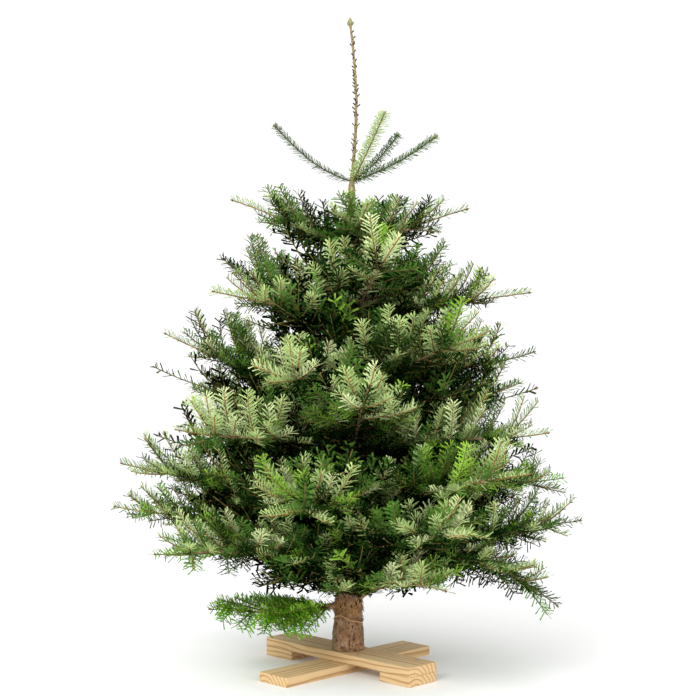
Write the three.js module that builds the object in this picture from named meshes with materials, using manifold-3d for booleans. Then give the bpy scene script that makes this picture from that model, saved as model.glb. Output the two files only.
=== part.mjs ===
// A cut fir, undecorated, on a plain wooden cross stand.
// Millimetres, +Z up. The origin is on the floor, under the middle of the stand and of the trunk's foot.
// Headings are degrees round the trunk: 0 is +X, 90 is +Y.
import * as THREE from "three";
import { mergeVertices } from "three/addons/utils/BufferGeometryUtils.js";
import Module from "manifold-3d";

const wasm = await Module();
wasm.setup();

// ---- Driving dimensions ----

const gap = 0.4; // clearance between solids that meet

const stand = { length: 480, width: 92, board: 22, turn: 45 }; // two boards, one laid across the other
const foot = 2 * stand.board + gap; // the trunk's flat cut stands here

const trunk = {
  height: 1500, // from the cut to the tip of the leader
  footRadius: 38.5,
  flareFrom: 40, // heights above the cut between which the root flare dies away
  flareTo: 90,
  stemRadius: 33.5, // just above the flare
  crownRadius: 8.2, // at the topmost ring of shoots
  leaderRadius: 5.2,
  tipRadius: 3.2,
  budRadius: 7.5, // the cluster of buds that ends the leader
  lean: 9, // how far the stem has wandered to +X at the topmost shoots
  leaderBow: 12, // sideways bow of the bare leader
  knuckle: 0.07, // swelling of the stem at each ring of boughs
  sides: 12,
};

// The rings of boughs, lowest first. rise is how far the tips stand above the ring on average, and
// stagger how far neighbours in a ring differ from that, one up and one down. arch is how far the middle
// of a bough stands above a straight line to its tip.
const rings = [
  { height: 108, count: 4, turn: 16, reach: 470, rise: 60, stagger: 0, arch: 34, half: 150, thick: 50, bare: 0.26 },
  { height: 204, count: 6, turn: -6, reach: 556, rise: 90, stagger: 40, arch: 22, half: 170, thick: 72, bare: 0.2 },
  { height: 318, count: 6, turn: 13, reach: 566, rise: 100, stagger: 38, arch: 20, half: 172, thick: 80, bare: 0 },
  { height: 454, count: 6, turn: -25, reach: 500, rise: 118, stagger: 42, arch: 16, half: 160, thick: 84, bare: 0 },
  { height: 602, count: 6, turn: 6, reach: 455, rise: 96, stagger: 50, arch: 14, half: 150, thick: 84, bare: 0 },
  { height: 767, count: 6, turn: -20, reach: 385, rise: 112, stagger: 46, arch: 18, half: 128, thick: 74, bare: 0 },
  { height: 926, count: 5, turn: -14, reach: 284, rise: 112, stagger: 14, arch: 18, half: 92, thick: 50, bare: 0 },
  { height: 1112, count: 4, turn: -46, reach: 190, rise: 126, stagger: 0, arch: -12, half: 19, thick: 18, bare: 0 },
];

// Boughs that grow unlike the rest of their ring.
const own = {
  ring1_1: { heading: -22, reach: 498, rise: 26, arch: 112, thick: 54 }, // long and drooping
  ring1_3: { heading: 196, reach: 335, rise: 12, arch: -12, half: 90, thick: 34 }, // short and low
  ring1_4: { heading: 300, reach: 430, rise: 92, bare: 0.4 },
  ring2_1: { rise: 92, reach: 562 },
  ring2_4: { heading: 174, rise: 142 },
  ring2_5: { heading: 222, reach: 570, rise: 78 },
  ring3_4: { heading: 194, reach: 535, rise: 130 },
  ring4_1: { heading: -22, rise: 72 },
  ring5_1: { heading: 2, reach: 436, rise: 88 },
  ring5_4: { reach: 440, rise: 142, arch: -6 },
  ring6_1: { heading: -16, reach: 425, rise: 66 },
  ring6_4: { heading: 162, reach: 345, rise: 168, arch: 4 },
  ring7_1: { rise: 112, reach: 280, thick: 38 },
  ring8_1: { heading: -4, reach: 200, rise: 114 },
  ring8_2: { heading: 48, reach: 172, rise: 138 },
  ring8_3: { heading: 181, reach: 182, rise: 140, arch: -22 },
  ring8_4: { heading: 308, reach: 122, rise: 152, arch: -6 },
};

// Boughs of the upper crown whose bare stems can be seen: the share of their reach without needles.
const bareStems = { ring7_1: 0.42, ring7_5: 0.34 };

const jitter = { heading: 6, reach: 0.04, rise: 12, rim: 0.16 };
const limb = { sides: 7, stations: 4, baseShare: 0.3, taper: 0.55 }; // radii as shares of the trunk's
const mass = { sides: 8, stations: 8, clearance: 3, wedgeShare: 0.94, tipShare: 0.32 };

// ---- Small helpers ----

const radians = THREE.MathUtils.degToRad;
const { lerp, smoothstep, clamp } = THREE.MathUtils;

// The same even spread of numbers from -1 to 1 each time, for the unevenness of a living thing.
function uneven(...keys) {
  const mixed = keys.reduce((sum, key, i) => sum + key * (12.9898 + 65.34 * i), 4.137);
  const wave = Math.sin(mixed) * 43758.5453;
  return 2 * (wave - Math.floor(wave)) - 1;
}

// A closed solid made by moving each point of a unit cylinder: u runs from 0 to 1 along it,
// and (across, up) is the place in the unit circle.
function alongLimb(sides, stations, place) {
  const shape = new THREE.CylinderGeometry(1, 1, 1, sides, stations);
  const points = shape.getAttribute("position");
  for (let i = 0; i < points.count; i++) {
    const moved = place(points.getY(i) + 0.5, points.getX(i), points.getZ(i));
    points.setXYZ(i, moved.x, moved.y, moved.z);
  }
  return shape;
}

function toSolid(geometry) {
  const bare = geometry.clone();
  bare.deleteAttribute("normal");
  bare.deleteAttribute("uv");
  const merged = mergeVertices(bare, 1e-3);
  return new wasm.Manifold(
    new wasm.Mesh({
      numProp: 3,
      vertProperties: merged.getAttribute("position").array,
      triVerts: new Uint32Array(merged.index.array),
    }),
  );
}

function toGeometry(solid) {
  const mesh = solid.getMesh();
  const shape = new THREE.BufferGeometry();
  shape.setAttribute("position", new THREE.BufferAttribute(mesh.vertProperties, 3));
  shape.setIndex(new THREE.BufferAttribute(mesh.triVerts, 1));
  shape.computeVertexNormals();
  return shape;
}

// ---- Trunk ----

const topRing = rings[rings.length - 1].height;

// The middle of the stem at a height above the cut.
function stemAxis(height) {
  const lean = trunk.lean * Math.min(height / topRing, 1);
  const along = clamp((height - topRing) / (trunk.height - topRing), 0, 1);
  const bow = trunk.leaderBow * Math.sin(Math.PI * along) - trunk.lean * 0.6 * along * along;
  return new THREE.Vector3(lean + bow, 0, foot + height);
}

function stemRadius(height) {
  if (height > topRing) {
    const along = (height - topRing) / (trunk.height - topRing);
    return lerp(trunk.leaderRadius, trunk.tipRadius, along);
  }
  const stem = lerp(trunk.stemRadius, trunk.crownRadius, Math.pow(height / topRing, 0.9));
  const flare = trunk.footRadius - trunk.stemRadius;
  const knuckles = rings.reduce((sum, ring) => sum + Math.exp(-(((height - ring.height) / 22) ** 2)), 0);
  return (stem + flare * (1 - smoothstep(height, trunk.flareFrom, trunk.flareTo))) * (1 + trunk.knuckle * knuckles);
}

// Heights of the trunk's sections: close together at the flare and at each ring of boughs.
function stemSections() {
  const heights = [0, 6, trunk.flareFrom, (trunk.flareFrom + trunk.flareTo) / 2];
  for (const ring of rings) heights.push(ring.height - 20, ring.height + 4, ring.height + 34);
  const leader = trunk.height - topRing;
  for (const share of [0.3, 0.5, 0.7, 0.88]) heights.push(topRing + share * leader);
  return heights.concat(trunk.height - 22, trunk.height - 10, trunk.height);
}

function trunkShape(grown = 0) {
  const heights = stemSections();
  return alongLimb(trunk.sides, heights.length - 1, (u, across, up) => {
    const height = heights[Math.round(u * (heights.length - 1))];
    const atBud = height > trunk.height - 15 && height < trunk.height;
    const radius = (atBud ? trunk.budRadius : stemRadius(height)) + grown;
    const middle = stemAxis(height);
    return new THREE.Vector3(middle.x + up * radius, middle.y + across * radius, middle.z);
  });
}

// ---- Boughs: where each one goes ----

function layOutBoughs() {
  return rings.map((ring, r) =>
    Array.from({ length: ring.count }, (_, b) => {
      const name = `ring${r + 1}_${b + 1}`;
      const bough = {
        ...ring,
        name,
        seed: 10 * r + b,
        ring: r,
        heading: ring.turn + (360 * b) / ring.count + jitter.heading * uneven(r, b, 1),
        reach: ring.reach * (1 + jitter.reach * uneven(r, b, 2)),
        rise: ring.rise + ring.stagger * (b % 2 ? 1 : -1) + jitter.rise * uneven(r, b, 3),
        ...own[name],
      };
      bough.bare = bareStems[name] ?? ring.bare;
      bough.out = new THREE.Vector3(Math.cos(radians(bough.heading)), Math.sin(radians(bough.heading)), 0);
      bough.left = new THREE.Vector3(-bough.out.y, bough.out.x, 0);
      return bough;
    }),
  );
}

const boughs = layOutBoughs();

// Height of a bough's line above its ring, at a distance from the trunk's axis.
function climb(bough, distance) {
  const u = distance / bough.reach;
  return bough.rise * u + 4 * bough.arch * u * (1 - u);
}

function boughPoint(bough, distance, across = 0, up = 0) {
  const at = stemAxis(bough.height).addScaledVector(bough.out, distance);
  at.addScaledVector(bough.left, across);
  at.z += climb(bough, distance) + up;
  return at;
}

const turnBetween = (from, to) => (((to - from) % 360) + 360) % 360;

// The angle to the next bough of the same ring on one side (+1 left, -1 right).
function turnToNext(bough, side) {
  const others = boughs[bough.ring].filter((other) => other !== bough);
  return Math.min(...others.map((other) => turnBetween(0, side * (other.heading - bough.heading))));
}

// Half of the free height between a bough and those of the ring above or below it.
function headroom(bough, distance, step) {
  const near = (boughs[bough.ring + step] ?? []).filter((other) => {
    const turn = turnBetween(bough.heading, other.heading);
    return Math.min(turn, 360 - turn) < 70 && distance < other.reach * 1.08;
  });
  const own = bough.height + climb(bough, distance);
  const gaps = near.map((other) => step * (other.height + climb(other, Math.min(distance, other.reach)) - own));
  return Math.min(...gaps, Infinity) / 2 - mass.clearance;
}

// Share of a mass's greatest half width, along the bough.
function widthShare(u) {
  const opening = smoothstep(u, 0, 0.5);
  const closing = 1 - 0.9 * Math.pow(clamp((u - 0.5) / 0.5, 0, 1), 1.2);
  return lerp(0.3, 1, opening) * closing;
}

function limbShape(bough) {
  const base = stemRadius(bough.height) * limb.baseShare;
  const end = bough.bare * bough.reach;
  return alongLimb(limb.sides, limb.stations, (u, across, up) => {
    const radius = base * lerp(1.25, limb.taper, Math.pow(u, 0.6));
    return boughPoint(bough, u * end, -across * radius, up * radius);
  });
}

// The needles of one bough: a flat, uneven fan round its line, from where they begin to the bough's tip.
function massShape(bough) {
  const start = bough.bare ? bough.bare * bough.reach + gap : stemRadius(bough.height) * 0.5;
  return alongLimb(mass.sides, mass.stations, (u, across, up) => {
    const station = Math.round(u * mass.stations);
    const side = Math.sign(across) || 1;
    const distance = lerp(start, bough.reach, u);
    const rim = 1 + jitter.rim * uneven(bough.seed, station, Math.round(3 * across), Math.round(3 * up));
    const serrated = 1 + (station % 2 ? 0.07 : -0.07);
    const wedge = distance * Math.tan(radians(Math.min(turnToNext(bough, -side) / 2, 62))) * mass.wedgeShare;
    const half = Math.min(bough.half * widthShare(distance / bough.reach) * rim * serrated, wedge - gap);
    const free = headroom(bough, distance, up > 0 ? 1 : -1);
    const swelling = lerp(0.9, 1, smoothstep(u, 0, 0.25)) * lerp(1, mass.tipShare, u ** 4.5);
    const thick = Math.min(bough.thick * swelling * rim, free);
    return boughPoint(bough, distance, -across * half, up * Math.max(thick, 4));
  });
}

// ---- Stand ----

function board(name, length, middleAlong, low, turn) {
  const shape = new THREE.BoxGeometry(length, stand.width, stand.board);
  const mesh = new THREE.Mesh(shape, timber);
  mesh.name = name;
  const heading = radians(turn);
  mesh.position.set(middleAlong * Math.cos(heading), middleAlong * Math.sin(heading), low + stand.board / 2);
  mesh.rotation.z = heading;
  return mesh;
}

// ---- The tree ----

const bark = new THREE.MeshStandardMaterial({ color: 0x8c6d52, roughness: 0.9, metalness: 0 });
const needles = new THREE.MeshStandardMaterial({ color: 0x5f7a45, roughness: 0.65, metalness: 0 });
const timber = new THREE.MeshStandardMaterial({ color: 0xcaa877, roughness: 0.8, metalness: 0 });

const tree = new THREE.Group();

function add(name, shape, material) {
  const mesh = new THREE.Mesh(shape, material);
  mesh.name = name;
  tree.add(mesh);
}

tree.add(board("stand_lower_board", stand.length, 0, 0, stand.turn));
tree.add(board("stand_upper_board", stand.length, 0, stand.board + gap / 2, stand.turn + 90));
for (const [end, side] of [["front", 1], ["back", -1]]) {
  const block = stand.width; // a square block under each end of the upper board
  tree.add(board(`stand_${end}_block`, block, (side * (stand.length - block)) / 2, 0, stand.turn - 90));
}

add("trunk", trunkShape(), bark);

const roundTrunk = toSolid(trunkShape(gap));
for (const bough of boughs.flat()) {
  if (bough.bare) {
    add(`${bough.name}_bough`, toGeometry(toSolid(limbShape(bough)).subtract(roundTrunk)), bark);
    add(`${bough.name}_needles`, massShape(bough), needles);
  } else {
    add(`${bough.name}_needles`, toGeometry(toSolid(massShape(bough)).subtract(roundTrunk)), needles);
  }
}

export default tree;
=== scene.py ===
import math
import random

import bmesh
import bpy
import numpy as np
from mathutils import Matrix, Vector


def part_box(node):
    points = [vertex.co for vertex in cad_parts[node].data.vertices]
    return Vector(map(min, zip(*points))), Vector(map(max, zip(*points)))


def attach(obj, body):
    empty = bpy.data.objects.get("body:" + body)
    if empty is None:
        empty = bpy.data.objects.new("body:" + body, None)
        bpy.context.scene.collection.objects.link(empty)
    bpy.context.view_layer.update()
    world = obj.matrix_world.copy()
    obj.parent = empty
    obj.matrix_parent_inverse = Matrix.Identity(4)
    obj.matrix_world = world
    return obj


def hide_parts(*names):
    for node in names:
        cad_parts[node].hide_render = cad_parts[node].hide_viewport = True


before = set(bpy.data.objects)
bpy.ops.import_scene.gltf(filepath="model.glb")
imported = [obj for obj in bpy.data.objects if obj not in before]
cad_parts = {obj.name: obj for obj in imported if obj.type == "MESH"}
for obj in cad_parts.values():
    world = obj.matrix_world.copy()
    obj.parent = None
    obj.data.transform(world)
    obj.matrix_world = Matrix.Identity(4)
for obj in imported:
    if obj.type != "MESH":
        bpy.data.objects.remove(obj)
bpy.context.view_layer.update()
scene = bpy.context.scene
print("frame loaded:", len(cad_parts), "nodes")


class Wire:
    # one socket, so that sums and products on it add Math nodes

    def __init__(self, graph, socket):
        self.graph, self.socket = graph, socket

    def __add__(self, other):
        return self.graph.maths("ADD", self, other)

    def __sub__(self, other):
        return self.graph.maths("SUBTRACT", self, other)

    def __rsub__(self, other):
        return self.graph.maths("SUBTRACT", other, self)

    def __mul__(self, other):
        return self.graph.maths("MULTIPLY", self, other)

    __radd__, __rmul__ = __add__, __mul__


class Graph:
    # adds nodes to one shader or geometry tree

    def __init__(self, tree):
        self.tree = tree

    def node(self, kind, inputs=None, output=0, **settings):
        made = self.tree.nodes.new(kind)
        for name, value in settings.items():
            if name == "stops":
                self.setStops(made.color_ramp, value)
            else:
                setattr(made, name, value)
        for key, value in (inputs or {}).items():
            if isinstance(value, Wire):
                self.tree.links.new(value.socket, made.inputs[key])
            else:
                made.inputs[key].default_value = value
        return Wire(self, made.outputs[output]) if made.outputs else None

    def setStops(self, ramp, stops):
        while len(ramp.elements) < len(stops):
            ramp.elements.new(0.5)
        for element, (place, colour) in zip(ramp.elements, stops):
            element.position, element.color = place, colour

    def maths(self, operation, first, second=0.0):
        return self.node("ShaderNodeMath", {0: first, 1: second}, operation=operation)

    def vector(self, operation, *inputs, scale=None):
        links = dict(enumerate(inputs))
        if scale is not None:
            links["Scale"] = scale
        return self.node("ShaderNodeVectorMath", links, operation=operation)

    def attribute(self, name, kind="FLOAT"):
        return self.node("GeometryNodeInputNamedAttribute", {"Name": name}, data_type=kind)

    def chance(self, low, high, seed, kind="FLOAT"):
        first, out = {"FLOAT": (2, 1), "FLOAT_VECTOR": (0, 0)}[kind]
        return self.node("FunctionNodeRandomValue", {first: low, first + 1: high, "Seed": seed}, out,
                         data_type=kind)


def newTree(name, sizes):
    # a geometry tree with one geometry in and out, and a named input for each size
    tree = bpy.data.node_groups.new(name, "GeometryNodeTree")
    tree.interface.new_socket("Geometry", in_out="INPUT", socket_type="NodeSocketGeometry")
    tree.interface.new_socket("Geometry", in_out="OUTPUT", socket_type="NodeSocketGeometry")
    for label, kind in sizes.items():
        tree.interface.new_socket(label, in_out="INPUT", socket_type="NodeSocket" + kind)
    group = tree.nodes.new("NodeGroupInput")
    graph = Graph(tree)
    return tree, graph, {out.name: Wire(graph, out) for out in group.outputs if out.name}


def scatter(graph, points, pattern, rotation, size, **more):
    # copies of a pattern object on points
    shape = graph.node("GeometryNodeObjectInfo", {"Object": pattern}, "Geometry")
    return graph.node("GeometryNodeInstanceOnPoints", {
        "Points": points, "Instance": shape, "Rotation": rotation, "Scale": size, **more})


def realize(graph, made):
    return graph.node("GeometryNodeRealizeInstances", {"Geometry": made})


def coated(graph, made, look, **more):
    return graph.node("GeometryNodeSetMaterial", {"Geometry": made, "Material": look, **more})


def closeTree(graph, made):
    graph.node("NodeGroupOutput", {"Geometry": made})


def linkNew(name, mesh):
    piece = bpy.data.objects.new(name, mesh)
    scene.collection.objects.link(piece)
    return piece


def shapeFrom(name, skeleton, tree, values):
    # the evaluated result of a tree on a skeleton mesh, as a plain mesh object
    source = linkNew(name + "Skeleton", skeleton)
    modifier = source.modifiers.new("shape", "NODES")
    modifier.node_group = tree
    for item in tree.interface.items_tree:
        if item.in_out == "INPUT" and item.name in values:
            modifier[item.identifier] = values[item.name]
    evaluated = source.evaluated_get(bpy.context.evaluated_depsgraph_get())
    mesh = bpy.data.meshes.new_from_object(evaluated)
    source.modifiers.remove(modifier)
    bpy.data.objects.remove(source)
    return linkNew(name, mesh)


def settle(piece, nodes=()):
    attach(piece, "root")
    if nodes:
        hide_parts(*nodes)
    triangles = sum(len(face.vertices) - 2 for face in piece.data.polygons)
    print(piece.name, triangles, "triangles")


# Finishes

def linear(red, green, blue):
    # a colour given as 0 to 255 on a screen
    shares = [c / 255 for c in (red, green, blue)]
    return tuple(c / 12.92 if c <= 0.04045 else ((c + 0.055) / 1.055) ** 2.4 for c in shares) + (1.0,)


def surface(name, build):
    material = bpy.data.materials.new(name)
    material.use_nodes = True
    material.node_tree.nodes.clear()
    graph = Graph(material.node_tree)
    shader = graph.node("ShaderNodeBsdfPrincipled", build(graph))
    graph.node("ShaderNodeOutputMaterial", {"Surface": shader})
    return material


def noise(graph, point, scale, detail=4.0):
    return graph.node("ShaderNodeTexNoise", {"Vector": point, "Scale": scale, "Detail": detail})


def objectPoint(graph, stretch=(1, 1, 1), turn=0.0):
    point = graph.node("ShaderNodeTexCoord", output="Object")
    point = graph.node("ShaderNodeMapping", {"Vector": point, "Rotation": (0, 0, -turn)})
    return graph.node("ShaderNodeMapping", {"Vector": point, "Scale": stretch})


def ramp(graph, factor, tones):
    # tones are places from 0 to 1, each with its colour
    stops = [(place, linear(*colour)) for place, colour in tones]
    return graph.node("ShaderNodeValToRGB", {"Fac": factor}, stops=stops)


def mix(graph, factor, base, colour):
    return graph.node("ShaderNodeMix", {0: factor, 6: base, 7: linear(*colour)}, 2, data_type="RGBA")


def axisOf(graph, point, axis):
    return graph.node("ShaderNodeSeparateXYZ", {0: point}, axis)


def masked(graph, value, low, high, strength=1.0):
    # 0 below low, rising to strength at high
    return graph.node("ShaderNodeMapRange", {
        "Value": value, "From Min": low, "From Max": high, "To Max": strength})


def mottled(name, colour, roughness, specular=0.5, scale=60, depth=0.2):
    # a colour that drifts a little darker and lighter over the piece
    darker = [c * (1 - depth) for c in colour]
    lighter = [min(255, c * (1 + depth)) for c in colour]

    def build(graph):
        patch = noise(graph, objectPoint(graph), scale, 3)
        return {"Base Color": ramp(graph, patch, [(0.35, darker), (0.65, lighter)]),
                "Roughness": (roughness - 0.1) + patch * 0.2, "Specular IOR Level": specular}
    return surface(name, build)


def matt(graph, look, colour, pattern, relief):
    # a rough finish whose gloss follows a pattern, over a fine relief
    bump = graph.node("ShaderNodeBump", {
        "Height": relief, "Strength": look["bump"][0], "Distance": look["bump"][1]})
    return {"Base Color": colour, "Roughness": look["rough"] + pattern * 0.2, "Normal": bump,
            "Specular IOR Level": look["gloss"]}


barkLook = {
    "tones": [(0.3, (104, 74, 54)), (0.5, (150, 114, 84)), (0.72, (180, 148, 116))],
    "grain": 75, "stretch": (1, 1, 0.85),
    "moss": (118, 116, 88), "mossAt": (0.024, 0.036, 0.6),   # metres from the middle: from, to, how much
    "mossGrain": 24, "mossPatch": (0.4, 0.62),
    "green": (142, 134, 92), "greenAt": (0.5, 1.15, 0.8),   # heights between which the bark turns smooth
    "leader": (142, 122, 86), "leaderAt": (1.16, 1.24, 0.85),
    "speck": (58, 40, 30), "specks": 170, "speckAt": (0.36, 0.46), "speckShare": 0.85, "speckLost": 0.3,
    "fine": 0.7, "bump": (0.8, 0.003), "rough": 0.75, "gloss": 0.25,
}


def barkSurface(graph):
    look = barkLook
    point, place = objectPoint(graph, look["stretch"]), objectPoint(graph)
    broad = noise(graph, point, look["grain"], 6)
    fine = noise(graph, point, look["specks"], 3)
    height = axisOf(graph, place, 2)
    edge = masked(graph, graph.maths("ABSOLUTE", axisOf(graph, place, 0)), *look["mossAt"])
    patch = masked(graph, noise(graph, place, look["mossGrain"], 3), *look["mossPatch"])
    young = masked(graph, height, *look["greenAt"])
    speck = 1 - masked(graph, fine, *look["speckAt"])
    colour = ramp(graph, broad, look["tones"])
    colour = mix(graph, edge * patch, colour, look["moss"])
    colour = mix(graph, young, colour, look["green"])
    colour = mix(graph, masked(graph, height, *look["leaderAt"]), colour, look["leader"])
    colour = mix(graph, speck * (look["speckShare"] - young * look["speckLost"]), colour, look["speck"])
    return matt(graph, look, colour, broad, broad + fine * look["fine"])


limbLook = {
    "tones": [(0.32, (112, 82, 60)), (0.5, (156, 122, 92)), (0.7, (184, 152, 118))],
    "grain": 90, "fine": 360, "bump": (0.4, 0.001), "rough": 0.7, "gloss": 0.3,
}


def limbSurface(graph):
    point = objectPoint(graph)
    colour = ramp(graph, noise(graph, point, limbLook["grain"], 5), limbLook["tones"])
    fine = noise(graph, point, limbLook["fine"], 3)
    return matt(graph, limbLook, colour, fine, fine)


timberLook = {
    "tones": [(0.0, (222, 190, 142)), (0.55, (222, 190, 142)), (0.9, (176, 132, 84)),
              (1.0, (222, 190, 142))],
    "late": (176, 132, 84), "fibreAt": (0.45, 0.75, 0.3),
    "rings": 95, "pith": (0.031, -0.034),   # yearly rings to the metre, and the pith across and up
    "warp": 1.6, "warpAcross": 0.03, "warpUp": 0.016,
    "knot": (112, 74, 42), "knotEvery": 0.34, "knotAt": (0.03, 0.055), "knotShare": 0.85,
    "ringBump": 0.3, "bump": (0.25, 0.001), "rough": 0.62, "gloss": 0.3,
}


def timberSurface(turn, height):
    # sawn softwood: yearly rings round a pith that runs along the board
    def build(graph):
        look = timberLook
        point = objectPoint(graph, (1, 1, 1), turn)
        warp = noise(graph, objectPoint(graph, (2.5, 9, 9), turn), look["warp"], 2) - 0.5
        across = axisOf(graph, point, 1) - look["pith"][0] + warp * look["warpAcross"]
        up = axisOf(graph, point, 2) - (height + look["pith"][1]) + warp * look["warpUp"]
        year = graph.maths("FRACT", graph.maths("SQRT", across * across + up * up) * look["rings"])
        fibre = noise(graph, objectPoint(graph, (14, 260, 260), turn), 1.0, 3)
        cells = graph.node("ShaderNodeTexVoronoi", {
            "Vector": objectPoint(graph, (1, 1.9, 1.9), turn), "Scale": 1 / look["knotEvery"]})
        knots = 1 - masked(graph, cells, *look["knotAt"])
        colour = ramp(graph, year, look["tones"])
        colour = mix(graph, masked(graph, fibre, *look["fibreAt"]), colour, look["late"])
        colour = mix(graph, knots * look["knotShare"], colour, look["knot"])
        return matt(graph, look, colour, fibre, fibre + year * look["ringBump"])
    return build


# each tint is the upper side and the underside of the needles of one spray
needleTints = [
    # dark is painted shade, a near-black for shoots in the crown's shaded inside; deep is the darker green of
    # old needles, darkened further as painted shade
    {"name": "dark", "top": (2, 10, 1), "under": (6, 16, 4), "gloss": 0.0},
    {"name": "deep", "top": (8, 30, 5), "under": (28, 54, 16), "gloss": 0.02},
    {"name": "green", "top": (26, 62, 10), "under": (80, 120, 46), "gloss": 0.08},
    {"name": "fresh", "top": (84, 142, 22), "under": (130, 170, 60), "gloss": 0.1},
    {"name": "vivid", "top": (112, 180, 30), "under": (146, 192, 66), "gloss": 0.1},
    {"name": "sage", "top": (88, 126, 50), "under": (172, 196, 122), "gloss": 0.12},
    {"name": "silver", "top": (94, 130, 60), "under": (202, 218, 156), "gloss": 0.12},
    {"name": "dry", "top": (170, 128, 82), "under": (190, 152, 106), "gloss": 0.1},
]
tintNumber = {tint["name"]: number for number, tint in enumerate(needleTints)}
darkest = (tintNumber["dark"], tintNumber["deep"])
feathery = (tintNumber["sage"], tintNumber["silver"])   # tints whose shoots are flat feathers with warm stems

bark = surface("bark", barkSurface)
limbBark = surface("bark.limb", limbSurface)
twigYoung = mottled("twig.young", (104, 98, 50), 0.7, 0.2)
twigWarm = mottled("twig.warm", (144, 106, 56), 0.7, 0.2)
twigOld = mottled("twig.old", (60, 46, 32), 0.85, 0.1)
budBrown = mottled("bud", (134, 98, 58), 0.5, 0.3)
budGreen = mottled("bud.leader", (132, 130, 78), 0.45)
knotDark = mottled("knot", (44, 28, 24), 0.85)
straw = mottled("straw", (206, 162, 112), 0.6)
zinc = surface("zinc", lambda graph: {"Base Color": linear(190, 188, 178), "Metallic": 1.0,
                                      "Roughness": 0.32 + noise(graph, objectPoint(graph), 900) * 0.2})
for tint in needleTints:
    tint["topLook"] = mottled("needle.top." + tint["name"], tint["top"], 0.45, tint["gloss"])
    tint["underLook"] = mottled("needle.under." + tint["name"], tint["under"], 0.65, tint["gloss"] / 2,
                                depth=0.08)
print("finishes made")


# The trunk's line and each bough's, read from the solids

def nodePoints(name):
    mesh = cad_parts[name].data
    flat = np.empty(len(mesh.vertices) * 3, np.float32)
    mesh.vertices.foreach_get("co", flat)
    return np.unique(np.round(flat.reshape(-1, 3).astype(float), 5), axis=0)


def slices(points, along, widest=0.003):
    # the points in groups that lie at the same distance, nearest first
    order = np.argsort(along)
    points, along = points[order], along[order]
    cuts = np.where(np.diff(along) > widest)[0] + 1
    groups = np.split(np.arange(len(points)), cuts)
    groups = [group for group in groups if len(group) >= 6 and np.ptp(along[group]) < widest]
    return [(along[group].mean(), points[group]) for group in groups]


def readStem():
    points = nodePoints("trunk")
    rings = [(z, ring.mean(0), ring) for z, ring in slices(points, points[:, 2], 0.0015)]
    return {
        "z": np.array([z for z, _, _ in rings]),
        "x": np.array([middle[0] for _, middle, _ in rings]),
        "y": np.array([middle[1] for _, middle, _ in rings]),
        "radius": np.array([np.hypot(*(ring - middle)[:, :2].T).max() for _, middle, ring in rings]),
    }


stem = readStem()


def heading(turn):
    return np.array((math.cos(turn), math.sin(turn), 0))


def leftOf(out):
    return np.array((-out[1], out[0], 0))


def stray(rng, most):
    return rng.uniform(-most, most)


def stemAt(z):
    return np.array([np.interp(z, stem["z"], stem["x"]), np.interp(z, stem["z"], stem["y"]), z])


def stemGirth(z):
    return float(np.interp(z, stem["z"], stem["radius"]))


limbRoom, leastSide = 0.02, 0.01       # round a bare limb, and the least on either side of a mass


def readBough(name):
    # a bough's line and the outline of its needles, from its solids
    points = nodePoints(name + "_needles")
    axis = stemAt(points[:, 2].min())
    away = np.hypot(points[:, 0] - axis[0], points[:, 1] - axis[1])
    tip = points[away > away.max() - 0.004].mean(0)
    out = np.array([tip[0] - axis[0], tip[1] - axis[1], 0])
    out /= np.linalg.norm(out)
    left = leftOf(out)
    rows = []
    bare = name + "_bough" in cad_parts
    if bare:
        limb = nodePoints(name + "_bough")
        for along, ring in slices(limb, (limb - axis) @ out):
            rows.append((along, ring[:, 2].mean()) + (limbRoom,) * 4)
    for along, ring in slices(points, (points - axis) @ out, 0.004):
        across = (ring - axis) @ left
        sides = [across.argmax(), across.argmin()]
        middle = ring[sides, 2].mean()
        rows.append((along, middle, max(across.max(), leastSide), max(-across.min(), leastSide),
                     ring[:, 2].max() - middle, middle - ring[:, 2].min()))
    along, middle, leftward, rightward, top, bottom = (np.array(column) for column in zip(*sorted(rows)))
    slope = (middle[1] - middle[0]) / (along[1] - along[0])

    def fromStem(first, values):
        return np.concatenate([[first], values])

    return {
        "name": name, "ring": int(name[4]), "axis": axis, "out": out, "left": left, "inner": False,
        "along": fromStem(0, along), "middle": fromStem(middle[0] - slope * along[0], middle),
        "sides": {1: fromStem(limbRoom, leftward), -1: fromStem(limbRoom, rightward)},
        "top": fromStem(limbRoom, top), "bottom": fromStem(limbRoom, bottom),
        "reach": float(along.max()), "bareTo": float(along[0]) if bare else 0.0,
    }


boughNames = sorted(name[:-len("_needles")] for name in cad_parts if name.endswith("_needles"))
boughs = [readBough(name) for name in boughNames]
print("boughs read:", len(boughs))

inner = {
    "seed": 5, "rings": {1: 7, 2: 8, 3: 8, 4: 8, 5: 8, 6: 7, 7: 4},   # how many above each ring
    # where they start, as shares of the way to the next ring, and their reach as a share of the ring's
    "between": {1: (0.3, 0.85), 5: (0.45, 0.95), 6: (0.1, 0.6), 7: (0.05, 0.3)}, "betweenElse": (0.25, 0.7),
    "reach": {1: (0.5, 0.8), 5: (0.5, 0.82), 6: (0.5, 0.8), 7: (0.5, 0.75)}, "reachElse": (0.6, 0.98),
    "turn": 0.25,   # how far they stray from an even spread, as a share of it
    "ends": 0.03, "width": 0.1, "widestAt": 0.6,
    "thick": (0.078, 0.034),   # low and high in the crown
    "under": {1: 0.3},   # how far the lowest ones hang down, as a share of that
    "rise": 0.22,
}


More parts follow.
